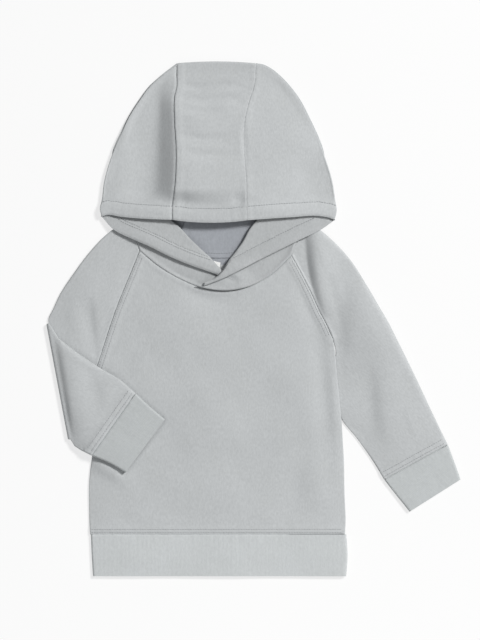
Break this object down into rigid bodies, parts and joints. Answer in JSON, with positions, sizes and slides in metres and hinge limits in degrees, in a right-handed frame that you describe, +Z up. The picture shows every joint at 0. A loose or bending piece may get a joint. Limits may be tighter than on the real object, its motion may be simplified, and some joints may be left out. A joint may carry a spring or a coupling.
{
  "type": "toddler hoodie",
  "caption": "Toddler's grey pullover hoodie laid flat on its back: hood open at the front with crossed lapels, a sleeve folded across the chest, plain doubled cuffs and waistband.",
  "frame": {"origin": "middle of the garment's box in plan, on the surface it lies on", "axes": "+Y from the waistband towards the hood, +Z up off the surface, +X towards the wearer's left, which is the straight sleeve"},
  "size_m": [0.475, 0.5904, 0.0134],
  "materials": {
    "cloth": "soft matte cotton sweatshirt knit, light grey, fine smooth face",
    "band": "matte doubled cotton knit, light grey, a little paler than the panels",
    "label": "plain white woven tape, blank"
  },
  "bodies": {
    "root": {"body_front": "cloth", "body_back": "cloth", "sleeve_left": "cloth", "sleeve_right": "cloth", "hood_side_left": "cloth", "hood_side_right": "cloth", "hood_centre": "cloth", "cuff_left": "band", "cuff_right": "band", "waistband": "band", "neck_label": "label"}
  },
  "joints": []
}
